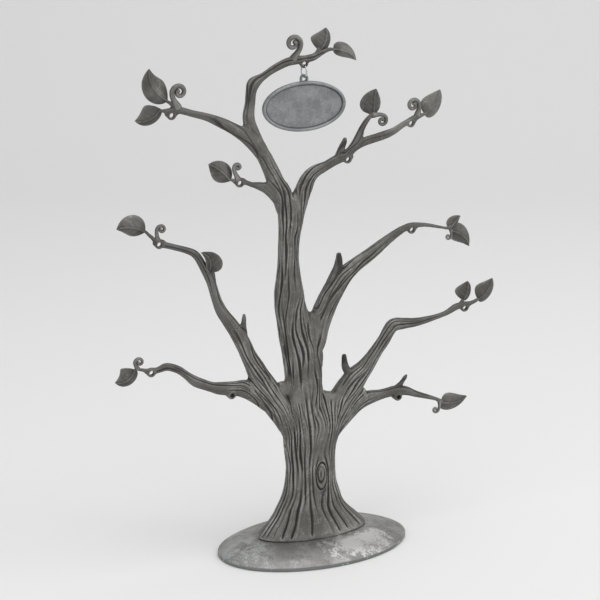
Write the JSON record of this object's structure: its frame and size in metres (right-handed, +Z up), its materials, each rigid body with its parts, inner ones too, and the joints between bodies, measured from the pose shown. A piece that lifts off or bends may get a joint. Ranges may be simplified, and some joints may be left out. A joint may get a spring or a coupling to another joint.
{
  "type": "photo tree stand",
  "caption": "Cast metal photo tree on an oval domed base, with eleven hanging holes and one oval picture frame on a jump ring.",
  "frame": {"origin": "middle of the felt's underside, on the surface that the stand rests on", "axes": "+X along the spread of the branches, to the viewer's right; +Y from the viewer to the back; +Z up the trunk"},
  "size_m": [0.2483, 0.0764, 0.32],
  "materials": {
    "casting": "antique pewter, dark in the grooves and rubbed bright on the ridges",
    "frame_metal": "satin, lightly smudged",
    "ring_steel": "bright drawn wire",
    "screw_steel": "zinc plated",
    "felt": "black felt"
  },
  "bodies": {
    "tree": {"base_dome": "casting", "base_felt": "felt", "foot_screws": "screw_steel", "trunk": "casting", "leader": "casting", "left_limb": "casting", "lower_left_branch": "casting", "right_upper_limb": "casting", "right_lower_limb": "casting", "lower_right_branch": "casting", "upper_left_branch": "casting", "crown_branch": "casting", "left_twig": "casting", "upper_right_branch": "casting", "right_spray": "casting"},
    "ring": {"jump_ring": "ring_steel"},
    "frame": {"oval_frame": "frame_metal"}
  },
  "joints": [
    {"name": "ring_swing", "type": "hinge", "parent": "tree", "child": "ring", "pos_m": [-0.006, 0, 0.2999], "axis": [0, 1, 0], "range_deg": [-38, 10]},
    {"name": "frame_swing", "type": "hinge", "parent": "ring", "child": "frame", "pos_m": [-0.006, 0, 0.2963], "axis": [1, 0, 0], "range_deg": [-75, 75]}
  ]
}
